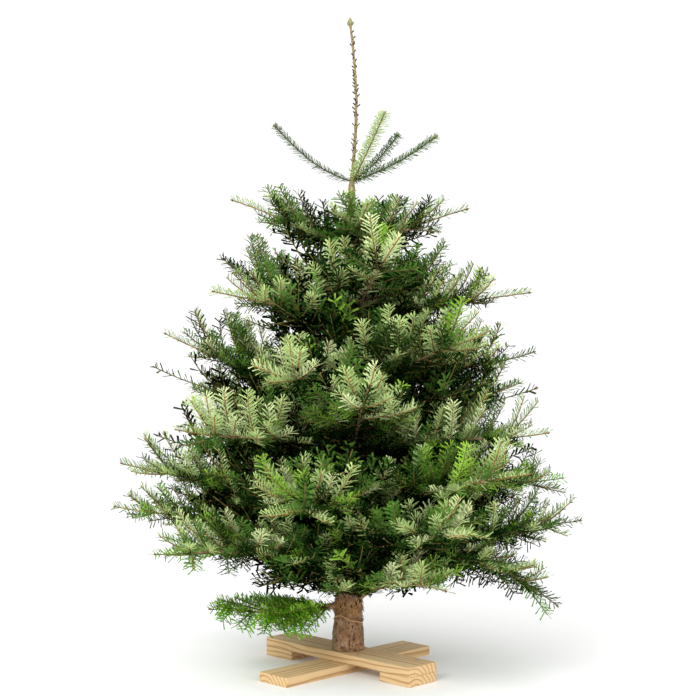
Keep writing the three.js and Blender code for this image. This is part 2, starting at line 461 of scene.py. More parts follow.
def innerBoughs():
    # the short boughs that grow from the trunk between the rings and close the crown's inside
    # their needles take mostly the near-black and deep tints: painted shade of the crown's inside
    rng = random.Random(inner["seed"])
    made = []
    base = {ring: np.mean([b["middle"][0] for b in boughs if b["ring"] == ring]) for ring in range(1, 9)}
    for ring, count in inner["rings"].items():
        reach = np.mean([b["reach"] for b in boughs if b["ring"] == ring])
        for k in range(count):
            low, high = inner["between"].get(ring, inner["betweenElse"])
            z = base[ring] + (base[ring + 1] - base[ring]) * rng.uniform(low, high)
            out = heading(math.tau * (k + stray(rng, inner["turn"])) / count - math.tau / 4)
            far = reach * rng.uniform(*inner["reach"].get(ring, inner["reachElse"]))
            thick = np.interp(ring, (1, 7), inner["thick"])
            along = np.array([0, far * inner["widestAt"], far])
            width = np.array([inner["ends"], inner["width"], inner["ends"]])
            made.append({
                "name": f"inner{ring}_{k}", "ring": ring, "axis": stemAt(z), "out": out, "inner": True,
                "left": leftOf(out), "along": along, "middle": z + inner["rise"] * along,
                "sides": {1: width, -1: width}, "top": np.full(3, thick),
                "bottom": np.full(3, thick * inner["under"].get(ring, 1.0)), "reach": far, "bareTo": 0.0})
    return made


# Growth: every bough branches year by year inside the outline of its mass

habit = {
    "seed": 11,
    "step": 0.015,   # between the points of a shoot's line
    "inset": 0.012,   # how far a side shoot's tip stays inside its mass
    "tipOver": 0.001,   # how far a limb's own tip stands out of it
    "over": 0.03, "beside": 0.035,   # how far shoots may stand out above, below and beside their mass
    "shortest": 0.036, "shorten": 0.9,  # a side shoot is shortened till it fits, and not grown below this
    "longestYear": 0.125, "yearly": 0.085,   # the most and the usual that a shoot grows in a year
    "yearMore": 0.12, "yearChance": 0.1,   # each year's growth is a little more than the last one's
    "firstRise": -0.05, "start": 0.6,   # a limb's slope at the trunk, and where in its girth it starts
    "follow": 2.5, "stray": 3,   # how firmly a limb keeps to its mass, and degrees that it strays
    "sideTurn": 50, "turnChance": 9,   # degrees between a stem and its side shoots
    "sideShare": {1: 0.72, 2: 0.66},   # their length to what is left of the stem, by order
    "shareChance": (0.85, 1.15), "sidePitch": (-12, 16), "pitchKept": 0.4,
    "whorls": [(0.11, (1.0, 0.7, 0.4)), (0.055, (1.0, 0.5)), (0, (1.0,))],   # places on a year's growth
    "whorlShare": 0.7,   # how many and how long they are between its ends
    "upperTurn": (10, 38), "upperPitch": (26, 58), "upperLength": (0.07, 0.135),
    "lowerTurn": (20, 55), "lowerPitch": (-34, -10), "lowerLength": (0.06, 0.1),
    "uppers": {1: 2.4, 2: 0.9}, "lowers": {1: 2.0, 2: 0.8},
    "low": 0.1,   # how far a limb lies below its mass's middle, as a share
    "curl": (12, 46), "limbCurl": 0.4,  # degrees that a young shoot bends up, and a limb's share
    "wander": 5, "roll": (-0.4, 0.4), "tilt": 0.3,
    "ownTint": {
        # ring1_3, a low spray in the crown's shadow, takes the bright vivid and fresh tints at every age:
        # painted light
        "ring1_3": {"vivid": 3, "fresh": 2}, "ring8_1": {"green": 1}, "ring8_2": {"green": 1},
        "ring8_3": {"green": 1, "sage": 1}, "ring8_4": {"sage": 1}},
    "ownLift": {"ring1_3": -0.2},
    "ownOver": {"ring1_3": (0.2, 0.3), "ring1_4": (1.0, -1.2)},   # shares of over, above and below
    "ownNeedle": {   # length, and degrees that the needles stand off
        "ring8_1": (0.021, 36), "ring8_2": (0.023, 42), "ring8_3": (0.022, 36), "ring8_4": (0.024, 54)},
    "needle": 0.027, "lastNeedle": 0.92, "lean": 40,   # their length, its share on the last shoots, degrees
    "fan": {"top": 300, "flat": 215, "else": 260},   # degrees that they spread round a shoot
    "density": (1.0, 0.72, 0.55, 0.36),  # of the needles, by a shoot's age
    "darkDensity": 0.75, "darkWidth": 1.25,   # the darkest needles are fewer and wider
    "darkTo": 0.5,   # the share of a bough's reach, from the trunk, in which its old needles take the darkest tint: painted shade of the crown's inside
    "ringLift": {1: 0.35, 2: 0.5, 3: 0.65, 4: 0.85, 5: 0.85, 6: 0.75, 7: 0.5, 8: 0.0},
}

shoots = []
stems = []


def placeAt(bough, place):
    s, t, v = place
    z = float(np.interp(s, bough["along"], bough["middle"])) + v
    return bough["axis"] * (1, 1, 0) + bough["out"] * s + bough["left"] * t + np.array((0, 0, z))


def roomFor(bough, place, facing, pitch, length):
    # the longest that a side shoot can be and still end inside the mass
    s, t, v = place
    while length > habit["shortest"]:
        flat = (length + habit["inset"]) * math.cos(pitch)
        endS, endT = s + flat * math.cos(facing), t + flat * math.sin(facing)
        endV = v + length * math.sin(pitch)
        side = np.interp(endS, bough["along"], bough["sides"][1 if endT > 0 else -1]) + habit["beside"]
        top = np.interp(endS, bough["along"], bough["top"]) + bough["over"][0]
        bottom = np.interp(endS, bough["along"], bough["bottom"]) + bough["over"][1]
        if 0 < endS < bough["reach"] and abs(endT) < side and -bottom < endV < top:
            return length
        length *= habit["shorten"]
    return 0.0


def upFor(bough, points, roll):
    # the upper side of a shoot at each of its points: as near to the sky and the trunk as can be
    lines = np.gradient(points, axis=0)
    lines /= np.linalg.norm(lines, axis=1)[:, None]
    sky = np.array((0, 0, 1.0)) - habit["tilt"] * bough["out"] + roll * bough["left"]
    ups = sky - (lines @ sky)[:, None] * lines
    return ups / np.linalg.norm(ups, axis=1)[:, None]


# each shoot's tint follows the light that it would get there: painted light and shade, pale sage and silver
# in the light and dark tints in shade
light = {
    "out": 0.62, "up": 1.8, "pitch": 0.3, "chance": 0.3,   # what each adds to the light on a shoot
    "innerDark": 0.5, "dark": 0.18, "shade": 0.45, "lowRings": 3,
    "tints": {   # how often each tint is dealt out
        "innerDark": {"dark": 3, "deep": 2, "green": 1},
        "inner": {"dark": 3, "deep": 3, "green": 3, "fresh": 1},
        "dark": {"dark": 1, "deep": 3, "green": 1},
        "shade": {"deep": 3, "green": 3, "fresh": 1, "sage": 4},
        "low": {"green": 3, "fresh": 3, "vivid": 1, "sage": 7, "silver": 4},
        "high": {"deep": 1, "green": 2, "fresh": 1, "sage": 8, "silver": 6}},
}


def lightOn(bough, rng, place, pitch):
    # painted light and shade: dark inside and below, silver outside and above, fresher green in the low rings
    amount = (light["out"] * place[0] / bough["reach"] + light["up"] * place[2] + light["pitch"] * pitch
              + stray(rng, light["chance"]))
    if bough["inner"]:
        return "innerDark" if amount < light["innerDark"] else "inner"
    if amount < light["shade"]:
        return "dark" if amount < light["dark"] else "shade"
    return "low" if bough["ring"] <= light["lowRings"] else "high"


def pickTint(bough, rng, place, pitch):
    tints = habit["ownTint"].get(bough["name"]) or light["tints"][lightOn(bough, rng, place, pitch)]
    return rng.choices(list(tints), list(tints.values()))[0]


def branchOut(bough, rng, place, facing, pitch, rest, age, order, share):
    # the side shoots at one place on a stem: a pair in its plane, and some above and below
    def sprout(turn, rise, want):
        want = roomFor(bough, place, turn, rise, min(want, age * habit["longestYear"]))
        if want > habit["shortest"]:
            years = min(age, max(1, round(want / habit["yearly"])))
            tint = pickTint(bough, rng, place, rise)
            growAxis(bough, rng, place, turn, rise, want, years, order + 1, tint)

    for side in (1, -1):
        turn = facing + side * math.radians(habit["sideTurn"] + stray(rng, habit["turnChance"]))
        rise = pitch * habit["pitchKept"] + math.radians(rng.uniform(*habit["sidePitch"]))
        sprout(turn, rise, rest * habit["sideShare"][order] * share * rng.uniform(*habit["shareChance"]))
    for kind, lift in (("upper", bough["lift"] * 0.5 + 0.5), ("lower", 1.0)):
        count = habit[kind + "s"][order] * share
        for _ in range(int(count + rng.random())):
            turn = facing + rng.choice((1, -1)) * math.radians(rng.uniform(*habit[kind + "Turn"]))
            rise = math.radians(rng.uniform(*habit[kind + "Pitch"])) * lift
            sprout(turn, rise, rng.uniform(*habit[kind + "Length"]))


def growAxis(bough, rng, place, facing, pitch, length, years, order, tint):
    # one stem, a year at a time, with its side shoots
    place = np.array(place, float)
    weights = [1 + habit["yearMore"] * k + stray(rng, habit["yearChance"]) for k in range(years)]
    line = [place]
    oldTo = 0
    for k, weight in enumerate(weights):
        segment = length * weight / sum(weights)
        age = years - 1 - k
        steps = max(3, round(segment / habit["step"]))
        curl = math.radians(rng.uniform(*habit["curl"])) * bough["lift"] if age == 0 else 0.0
        curl *= habit["limbCurl"] if order == 1 else 1.0
        first = len(line) - 1
        for i in range(steps):
            slope = pitch + curl * (i + 1) / steps
            flat = math.cos(slope) * segment / steps
            rise = math.sin(slope) * segment / steps
            place = place + (flat * math.cos(facing), flat * math.sin(facing), rise)
            line.append(place)
        points = np.array([placeAt(bough, spot) for spot in line[first:]])
        # old needles take a painted-shade tint: the near-black one on inner boughs and near the trunk, deep
        # further out
        shade = "dark" if bough["inner"] or place[0] < habit["darkTo"] * bough["reach"] else "deep"
        young = age < 2 or bough["name"] in habit["ownTint"]
        shoots.append({
            "points": points, "ups": upFor(bough, points, rng.uniform(*habit["roll"])),
            "age": age, "order": order, "bough": bough, "length": segment,
            "tint": tintNumber[tint if young else shade], "bare": order == 1 and place[0] < bough["bareTo"],
        })
        if age > 0:
            oldTo = len(line) - 1
            rest = length * sum(weights[k + 1:]) / sum(weights)
            whorls = next(shares for least, shares in habit["whorls"] if segment > least)
            for share in whorls if order < 3 else []:
                spot = line[first + round(steps * share)]
                if spot[0] > bough["bareTo"] * 0.9:
                    branchOut(bough, rng, spot, facing, pitch, rest + (1 - share) * segment,
                              age, order, 1.0 if share == 1.0 else habit["whorlShare"])
        facing += math.radians(stray(rng, habit["wander"]))
        if order == 1:
            sunk = -habit["low"] * np.interp(place[0], bough["along"], bough["bottom"])
            pitch = (sunk - place[2]) * habit["follow"] + math.radians(stray(rng, habit["stray"]))
    stems.append({"line": np.array([placeAt(bough, spot) for spot in line]), "oldTo": oldTo,
                  "order": order, "length": length, "bough": bough, "tint": tint})


for bough in boughs + innerBoughs():
    rng = random.Random(f"{bough['name']}-{habit['seed']}")
    bough["lift"] = habit["ownLift"].get(bough["name"], habit["ringLift"][bough["ring"]])
    bough["over"] = [habit["over"] * share for share in habit["ownOver"].get(bough["name"], (1.0, 1.0))]
    years = max(2, 5 - bough["ring"] // 2) if bough["inner"] else 9 - bough["ring"]
    begin = stemGirth(bough["middle"][0]) * habit["start"]
    length = bough["reach"] - begin + habit["tipOver"]
    tint = pickTint(bough, rng, (bough["reach"], 0, 0.05), 0)
    growAxis(bough, rng, (begin, 0.0, 0.0), 0.0, habit["firstRise"], length, years, 1, tint)
print("shoots:", len(shoots), "length", round(sum(shoot["length"] for shoot in shoots), 1), "m")

# Needles

blade = {
    "seed": 3,
    "golden": 0.61803,   # of a full turn, from one needle to the next
    "sweep": 0.2, "lean": 0.14, "face": 0.45,   # how far each needle strays from its place, in radians
    "spread": 20,   # degrees that needles at the sides stand off more
    "length": (0.82, 1.1), "topShorter": 0.2,
    "base": (0.6, 5), "tip": (0.62, 4),   # their share of the length at a shoot's ends, and its growth
    "outer": {"Spacing": 0.00185, "Width": 0.0032},
    "inner": {"Spacing": 0.0058, "Width": 0.0062},
    "top": {"Spacing": 0.0006, "Width": 0.0024},
}


def bladeMesh():
    # four corners: a blunt blade, folded one way above and the other way beneath, closed and a unit long
    corners = [(0, 0.3, -0.08), (0, -0.3, 0.08), (1, 0.34, 0.08), (0.96, -0.44, -0.08)]
    upper = [(0, 1, 2), (1, 3, 2)]
    lower = [(0, 3, 1), (0, 2, 3)]
    mesh = bpy.data.meshes.new("blade")
    mesh.from_pydata(corners, [], upper + lower)
    mesh.attributes.new("underside", "BOOLEAN", "FACE").data.foreach_set("value", [False] * 2 + [True] * 2)
    return mesh


def needleTree():
    tree, graph, group = newTree("Needles along shoots", {
        "Blade": "Object", "Spacing": "Float", "Width": "Float", "Seed": "Int"})
    curve = graph.node("GeometryNodeMeshToCurve", {"Mesh": group["Geometry"]})
    curve = graph.node("GeometryNodeResampleCurve", {"Curve": curve, "Length": group["Spacing"]},
                       mode="LENGTH")
    line = graph.node("GeometryNodeInputTangent")
    up = graph.attribute("shootUp", "FLOAT_VECTOR")
    side = graph.vector("NORMALIZE", graph.vector("CROSS_PRODUCT", up, line))
    top = graph.vector("CROSS_PRODUCT", line, side)
    index = graph.node("GeometryNodeInputIndex")
    seed = group["Seed"]
    turn = graph.maths("FRACT", index * blade["golden"])
    sweep = (turn - 0.5) * graph.attribute("fan") + graph.chance(-blade["sweep"], blade["sweep"], seed)
    sine = graph.maths("SINE", sweep)
    cosine = graph.maths("COSINE", sweep)
    spread = graph.maths("ABSOLUTE", sine)
    lean = spread * math.radians(blade["spread"]) + graph.attribute("lean")
    lean = lean + graph.chance(-blade["lean"], blade["lean"], seed + 1)
    outward = graph.vector("ADD", graph.vector("SCALE", side, scale=sine),
                           graph.vector("SCALE", top, scale=cosine))
    aim = graph.vector("ADD", graph.vector("SCALE", line, scale=graph.maths("COSINE", lean)),
                       graph.vector("SCALE", outward, scale=graph.maths("SINE", lean)))
    tilt = graph.chance((-blade["face"],) * 3, (blade["face"],) * 3, seed + 2, "FLOAT_VECTOR")
    face = graph.vector("ADD", top, tilt)
    rotation = graph.node("FunctionNodeAxesToRotation", {"Primary Axis": aim, "Secondary Axis": face},
                          primary_axis="X", secondary_axis="Z")
    factor = graph.node("GeometryNodeSplineParameter")
    (base, baseGrowth), (tip, tipGrowth) = blade["base"], blade["tip"]
    ends = graph.maths("MINIMUM", base + factor * baseGrowth, tip + (1 - factor) * tipGrowth)
    ends = graph.maths("MINIMUM", ends, 1.0)
    upper = 1 - graph.maths("MAXIMUM", cosine, 0.0) * blade["topShorter"]
    length = graph.attribute("needleSize") * ends * upper * graph.chance(*blade["length"], seed + 3)
    width = group["Width"] * graph.attribute("wide")
    size = graph.node("ShaderNodeCombineXYZ", {"X": length, "Y": width, "Z": width})
    kept = {0: graph.chance(0.0, 1.0, seed + 4), 1: graph.attribute("density")}
    keep = graph.node("FunctionNodeCompare", kept, operation="LESS_THAN", data_type="FLOAT")
    made = realize(graph, scatter(graph, curve, group["Blade"], rotation, size, Selection=keep))
    under = graph.attribute("underside", "BOOLEAN")
    over = graph.node("FunctionNodeBooleanMath", {0: under}, operation="NOT")
    for number, tint in enumerate(needleTints):
        mine = graph.node("FunctionNodeCompare", {2: graph.attribute("tint", "INT"), 3: number},
                          operation="EQUAL", data_type="INT")
        for faces, look in ((over, tint["topLook"]), (under, tint["underLook"])):
            chosen = graph.node("FunctionNodeBooleanMath", {0: mine, 1: faces}, operation="AND")
            made = coated(graph, made, look, Selection=chosen)
    closeTree(graph, made)
    return tree


def skeletonMesh(name, lines, attributes):
    # separate lines of points, with a value at each point for every attribute
    points = np.concatenate(lines)
    edges, first = [], 0
    for line in lines:
        edges += [(i, i + 1) for i in range(first, first + len(line) - 1)]
        first += len(line)
    mesh = bpy.data.meshes.new(name)
    mesh.from_pydata(points.tolist(), edges, [])
    for label, (kind, values) in attributes.items():
        field = "vector" if kind == "FLOAT_VECTOR" else "value"
        mesh.attributes.new(label, kind, "POINT").data.foreach_set(field, np.concatenate(values).ravel())
    return mesh


def needleDensity(shoot):
    if shoot["bare"]:
        return 0.0
    density = habit["density"][min(shoot["age"], 3)]
    return density * (habit["darkDensity"] if shoot["tint"] in darkest else 1.0)


def dressed(shoot):
    # the values that the needles of one shoot take, unless it brings its own; pale shoots are flat feathers
    own = {key: shoot[key] for key in ("size", "density", "fan", "lean") if key in shoot}
    if shoot["bough"]:
        size = habit["needle"] * (habit["lastNeedle"] if shoot["order"] == 3 else 1.0)
        size, lean = habit["ownNeedle"].get(shoot["bough"]["name"], (size, habit["lean"]))
        kind = "top" if shoot["bough"]["ring"] == 8 else "flat" if shoot["tint"] in feathery else "else"
        own = {"size": size, "lean": lean, "fan": habit["fan"][kind], "density": needleDensity(shoot)}
    return {
        "needleSize": own["size"], "density": own["density"], "fan": math.radians(own["fan"]),
        "wide": habit["darkWidth"] if shoot["tint"] in darkest else 1.0, "lean": math.radians(own["lean"])}


needlesOnShoots = needleTree()
bladeObject = linkNew("blade", bladeMesh())


def needlePiece(name, mine, seed, nodes=(), kind="outer"):
    values = [dressed(shoot) for shoot in mine]
    counts = [len(shoot["points"]) for shoot in mine]
    attributes = {label: ("FLOAT", [np.full(n, own[label]) for n, own in zip(counts, values)])
                  for label in values[0]}
    attributes["shootUp"] = ("FLOAT_VECTOR", [shoot["ups"] for shoot in mine])
    attributes["tint"] = ("INT", [np.full(n, shoot["tint"], np.int32) for n, shoot in zip(counts, mine)])
    skeleton = skeletonMesh(name, [shoot["points"] for shoot in mine], attributes)
    piece = shapeFrom(name, skeleton, needlesOnShoots, {
        "Blade": bladeObject, "Seed": blade["seed"] + seed, **blade[kind]})
    settle(piece, nodes)


def needlesByRing():
    for ring in range(1, 9):
        ringBoughs = [bough for bough in boughs if bough["ring"] == ring]
        parts = [ringBoughs[0::2], ringBoughs[1::2]] if ring < 7 else [ringBoughs]
        for part, members in zip("ab", parts):
            mine = [s for s in shoots if s["bough"] in members and needleDensity(s) > 0]
            needlePiece(f"foliage.ring{ring}.{part}", mine, 10 * ring + ord(part),
                        [bough["name"] + "_needles" for bough in members],
                        "top" if ring == 8 else "outer")
    for part, rings in (("low", (1, 2, 3)), ("middle", (4, 5)), ("high", (6, 7))):
        mine = [s for s in shoots if s["bough"]["inner"] and s["bough"]["ring"] in rings]
        needlePiece("foliage.inner." + part, mine, 100 + rings[0], (), "inner")


needlesByRing()

# Twigs, limbs and buds


def tubeTree():
    tree, graph, group = newTree("Tubes along lines", {
        "Sides": "Int", "Relief": "Float", "Relief scale": "Float", "Material": "Material"})
    curve = graph.node("GeometryNodeMeshToCurve", {"Mesh": group["Geometry"]})
    ring = graph.node("GeometryNodeCurvePrimitiveCircle", {"Resolution": group["Sides"], "Radius": 1.0})
    made = graph.node("GeometryNodeCurveToMesh", {
        "Curve": curve, "Profile Curve": ring, "Scale": graph.attribute("girth"), "Fill Caps": True})
    rough = noise(graph, graph.node("GeometryNodeInputPosition"), group["Relief scale"]) - 0.5
    push = graph.vector("SCALE", graph.node("GeometryNodeInputNormal"), scale=rough * group["Relief"])
    made = graph.node("GeometryNodeSetPosition", {"Geometry": made, "Offset": push})
    closeTree(graph, coated(graph, realize(graph, made), group["Material"]))
    return tree


tubesOnLines = tubeTree()
girth = {
    "limbTip": 0.0015, "limb": 0.28, "innerLimb": 0.14,   # a limb's base, as a share of the trunk there
    "fall": 1.7,
    "twig": {2: (0.0012, 0.013), 3: (0.0009, 0.006)},   # at its tip, and added for each metre of it
    "limbRelief": 0.0014, "reliefScale": 160.0,
}


def girthsOf(one):
    # thickness falls from a stem's base to its tip
    shares = np.linspace(0, 1, len(one["line"]))
    if one["order"] == 1:
        tip = girth["limbTip"]
        share = girth["innerLimb" if one["bough"]["inner"] else "limb"]
        base = stemGirth(one["bough"]["middle"][0]) * share
        return tip + (base - tip) * (1 - shares) ** girth["fall"]
    tip, swell = girth["twig"][one["order"]]
    return tip + swell * one["length"] * (1 - shares)


def tubePiece(name, lines, girths, sides, relief, look, slot, nodes=()):
    skeleton = skeletonMesh(name, lines, {"girth": ("FLOAT", girths)})
    piece = shapeFrom(name, skeleton, tubesOnLines, {
        "Sides": sides, "Relief": relief, "Relief scale": girth["reliefScale"], "Material": look})
    settle(piece, nodes)


def stemPieces():
    old = {True: [], False: []}
    young = {True: [], False: []}
    for one in stems:
        girths = girthsOf(one)
        cut = one["oldTo"]
        if cut > 0:
            old[one["order"] == 1].append((one["line"][:cut + 1], girths[:cut + 1]))
        if one["bough"]["inner"] and one["order"] == 3:
            continue
        thinned = sorted({*range(cut, len(girths), 2), len(girths) - 1})
        young[tintNumber[one["tint"]] in feathery].append((one["line"][thinned], girths[thinned]))
    limbNodes = [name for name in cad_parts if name.endswith("_bough")]
    tubePiece("limbs", *zip(*old[True]), 10, girth["limbRelief"], limbBark, "bark", limbNodes)
    tubePiece("twigs.old", *zip(*old[False]), 4, 0.0, twigOld, "bark")
    tubePiece("twigs.young", *zip(*young[False]), 3, 0.0, twigYoung, "bark")
    tubePiece("twigs.warm", *zip(*young[True]), 3, 0.0, twigWarm, "bark")


stemPieces()


def lathe(rings, sides):
    # the corners and side faces of a round shape, from the radius and height of each of its rings
    turns = [math.tau * i / sides for i in range(sides)]
    corners = [(radius * math.cos(turn), radius * math.sin(turn), up)
               for radius, up in rings for turn in turns]
    faces = [(low + i, low + (i + 1) % sides, low + sides + (i + 1) % sides, low + sides + i)
             for low in range(0, (len(rings) - 1) * sides, sides) for i in range(sides)]
    return corners, faces


def meshFrom(name, corners, faces):
    mesh = bpy.data.meshes.new(name)
    mesh.from_pydata(corners, [], faces)
    return mesh


def budMesh(sides, rings):
    # a pointed egg, a unit long
    corners, faces = lathe(rings, sides)
    base, last = len(corners), len(corners) - sides
    faces += [(base, (i + 1) % sides, i) for i in range(sides)]
    faces += [(last + i, last + (i + 1) % sides, base + 1) for i in range(sides)]
    return meshFrom("bud", corners + [(0, 0, -0.02), (0, 0, 1)], faces)


def budTree():
    tree, graph, group = newTree("Buds at tips", {"Bud": "Object", "Material": "Material"})
    rotation = graph.node("FunctionNodeAxesToRotation", {
        "Primary Axis": graph.attribute("aim", "FLOAT_VECTOR"), "Secondary Axis": (0.3, 0.9, 0.1)},
        primary_axis="Z", secondary_axis="X")
    made = scatter(graph, group["Geometry"], group["Bud"], rotation, graph.attribute("budSize"))
    closeTree(graph, coated(graph, realize(graph, made), group["Material"]))
    return tree


budsAtTips = budTree()
budObjects = [linkNew("bud.small", budMesh(4, [(0.4, 0.35)])),
              linkNew("bud.large", budMesh(7, [(0.24, 0.0), (0.42, 0.3), (0.3, 0.65)]))]
buds = {
    "seed": 17, "single": 0.0045, "cluster": 0.006, "leader": 0.0145, "topShare": 1.15,
    "around": {"limb": 2, "top": 4, "leader": 5},   # how many stand round an end bud
    "splay": 1.25, "sunk": 0.25, "smaller": (0.7, 0.85), "leaderDown": 0.012,
}


def budPiece(name, tips, bud, look):
    points, aims, sizes = (np.array(column) for column in zip(*tips))
    mesh = meshFrom(name, points.tolist(), [])
    mesh.attributes.new("aim", "FLOAT_VECTOR", "POINT").data.foreach_set("vector", aims.ravel())
    mesh.attributes.new("budSize", "FLOAT", "POINT").data.foreach_set("value", sizes)
    settle(shapeFrom(name, mesh, budsAtTips, {"Bud": bud, "Material": look}))


def cluster(point, aim, size, count, rng):
    # an end bud with others splayed round it
    tips = [(point, aim, size)]
    across = np.cross(aim, (0.31, 0.87, 0.38))
    across /= np.linalg.norm(across)
    other = np.cross(aim, across)
    start = rng.uniform(0, math.tau)
    for k in range(count):
        turn = start + math.tau * k / count
        splayed = aim + buds["splay"] * (math.cos(turn) * across + math.sin(turn) * other)
        tips.append((point - aim * size * buds["sunk"], splayed / np.linalg.norm(splayed),
                     size * rng.uniform(*buds["smaller"])))
    return tips


def budPieces():
    rng = random.Random(buds["seed"])
    around = buds["around"]
    tips, topTips = [], []
    for one in stems:
        end = one["line"][-1]
        aim = end - one["line"][-2]
        aim /= np.linalg.norm(aim)
        if one["bough"]["ring"] == 8:
            topTips += cluster(end, aim, buds["cluster"] * buds["topShare"], around["top"], rng)
        elif one["order"] == 1:
            tips += cluster(end, aim, buds["cluster"], around["limb"], rng)
        elif not one["bough"]["inner"] and one["tint"] != "deep":
            tips.append((end, aim, buds["single"]))
    end = stemAt(stem["z"].max() - buds["leaderDown"])
    topTips += cluster(end, np.array((0, 0, 1.0)), buds["leader"], around["leader"], rng)
    budPiece("buds", tips, budObjects[0], budBrown)
    budPiece("buds.top", topTips, budObjects[1], budGreen)


budPieces()

# The trunk, its foot and the bare leader

trunk = {
    "fine": 0.4, "fineStep": 0.003, "step": 0.006,   # metres of the foot with close-set rings
    "topOff": 0.008, "cutEdge": 0.0025, "cutLevel": 0.0006,
    "leaderGirth": 0.0055, "leaderShare": 0.78,
    "sides": 48, "relief": 0.0056, "reliefScale": 105.0,
}
knot = {
    "places": [(0.052, -66, 0.0062), (0.088, 168, 0.005), (0.031, 62, 0.005), (0.07, -12, 0.0036)],
    "rings": [(0.42, -0.0006), (0.5, 0.0016), (0.72, 0.0022), (0.95, 0.0006), (1.1, -0.003)],
    "sides": 20, "centre": -0.0004, "back": -0.005, "lift": 0.001, "sunk": 0.97, "wave": 0.08, "tall": 1.25,
}
strand = {
    "height": 0.075, "wander": 0.008, "start": 110, "wave": 0.0015, "waves": 5,   # above the cut
    "radius": 0.0011, "uneven": 0.2, "away": 0.0022, "steps": 72,
}
collar = {   # the dry needles
    "seed": 23, "low": 0.082, "high": 0.118, "count": 26, "turn": 0.4,
    "topChance": (-0.006, 0.012), "lowChance": (0.006, 0.02), "away": 0.001,
    "size": (0.014, 0.022), "density": 0.45, "fan": 200, "lean": 12,
}
leader = {   # its needles, and how they change from low to high
    "from": 0.01, "to": 0.03, "parts": 8, "greenAbove": 0.7,
    "size": (0.011, 0.005), "density": (0.3, 0.3), "fan": 360, "lean": 22,
}
cutHeight = float(stem["z"].min())
leaderFoot = float(np.mean([bough["middle"][0] for bough in boughs if bough["ring"] == 8]))


def trunkPiece():
    low, high = cutHeight, float(stem["z"].max()) - trunk["topOff"]
    fineTo = low + trunk["fine"]
    heights = np.concatenate([[low, low + 0.0012], np.arange(low + 0.004, fineTo, trunk["fineStep"]),
                              np.arange(fineTo, high, trunk["step"]), [high]])
    line = np.array([stemAt(z) for z in heights])
    girths = np.array([min(stemGirth(z), trunk["leaderGirth"]) * trunk["leaderShare"]
                       if z > leaderFoot + 0.02 else stemGirth(z) for z in heights])
    girths[0] -= trunk["cutEdge"]
    skeleton = skeletonMesh("trunkRelief", [line], {"girth": ("FLOAT", [girths])})
    piece = shapeFrom("trunkRelief", skeleton, tubesOnLines, {
        "Sides": trunk["sides"], "Relief": trunk["relief"], "Relief scale": trunk["reliefScale"],
        "Material": bark})
    for corner in piece.data.vertices:   # the saw cut stays level under the relief
        if corner.co.z < low + trunk["cutLevel"]:
            corner.co.z = low
    settle(piece, ["trunk"])


def knotPiece(name, height, degrees, size):
    # a raised collar round the dark stub of a lost branch
    z = cutHeight + height
    out = heading(math.radians(degrees))
    across = leftOf(out)
    middle = stemAt(z) + out * (stemGirth(z) * knot["sunk"] + knot["lift"])
    sides = knot["sides"]
    corners, faces = lathe(knot["rings"], sides)
    placed = []
    for i, (x, y, proud) in enumerate(corners):
        radius = size * (1 + knot["wave"] * math.sin(3 * math.tau * (i % sides) / sides + degrees))
        placed.append(middle + across * x * radius + (0, 0, y * radius * knot["tall"]) + out * proud)
    centre, last, rows = len(placed), len(placed) - sides, len(faces)
    placed += [middle + out * knot["centre"], middle + out * knot["back"]]
    faces += [(centre, i, (i + 1) % sides) for i in range(sides)]
    faces += [(centre + 1, last + (i + 1) % sides, last + i) for i in range(sides)]
    mesh = meshFrom(name, placed, faces)
    outwards(mesh)
    mesh.materials.append(bark)
    mesh.materials.append(knotDark)
    dark = [number < sides or rows <= number < rows + sides for number in range(len(faces))]
    mesh.polygons.foreach_set("material_index", dark)
    mesh.polygons.foreach_set("use_smooth", [True] * len(faces))
    settle(linkNew(name, mesh))


def outwards(mesh, change=lambda build: None):
    # the mesh after a change, with its faces turned outwards
    build = bmesh.new()
    build.from_mesh(mesh)
    change(build)
    bmesh.ops.recalc_face_normals(build, faces=build.faces)
    build.to_mesh(mesh)
    build.free()


def strandPiece():
    # a straw-coloured strand that lies once round the stem
    steps = strand["steps"]
    line = []
    for i in range(steps + 1):
        turn = math.tau * i / steps
        z = cutHeight + strand["height"] + strand["wave"] * math.sin(turn * strand["waves"])
        z += strand["wander"] * math.cos(2 * turn - math.radians(strand["start"]))
        line.append(stemAt(z) + heading(turn) * (stemGirth(z) + strand["away"]))
    girths = strand["radius"] * (1 + strand["uneven"] * np.sin(np.arange(steps + 1) * 0.9))
    tubePiece("strand", [np.array(line)], [girths], 6, 0.0, straw, "bark")


def hangingNeedles():
    # dry needles caught round the stem under the lowest boughs
    rng = random.Random(collar["seed"])
    made = []
    for k in range(collar["count"]):
        out = heading(math.tau * (k + stray(rng, collar["turn"])) / collar["count"])
        top = cutHeight + collar["high"] + rng.uniform(*collar["topChance"])
        bottom = cutHeight + collar["low"] + rng.uniform(*collar["lowChance"])
        heights = np.linspace(top, bottom, 4)
        points = np.array([stemAt(z) + out * (stemGirth(z) + collar["away"]) for z in heights])
        made.append({**collar, "points": points, "ups": np.tile(out, (4, 1)), "tint": tintNumber["dry"],
                     "bough": None, "size": rng.uniform(*collar["size"])})
    return made


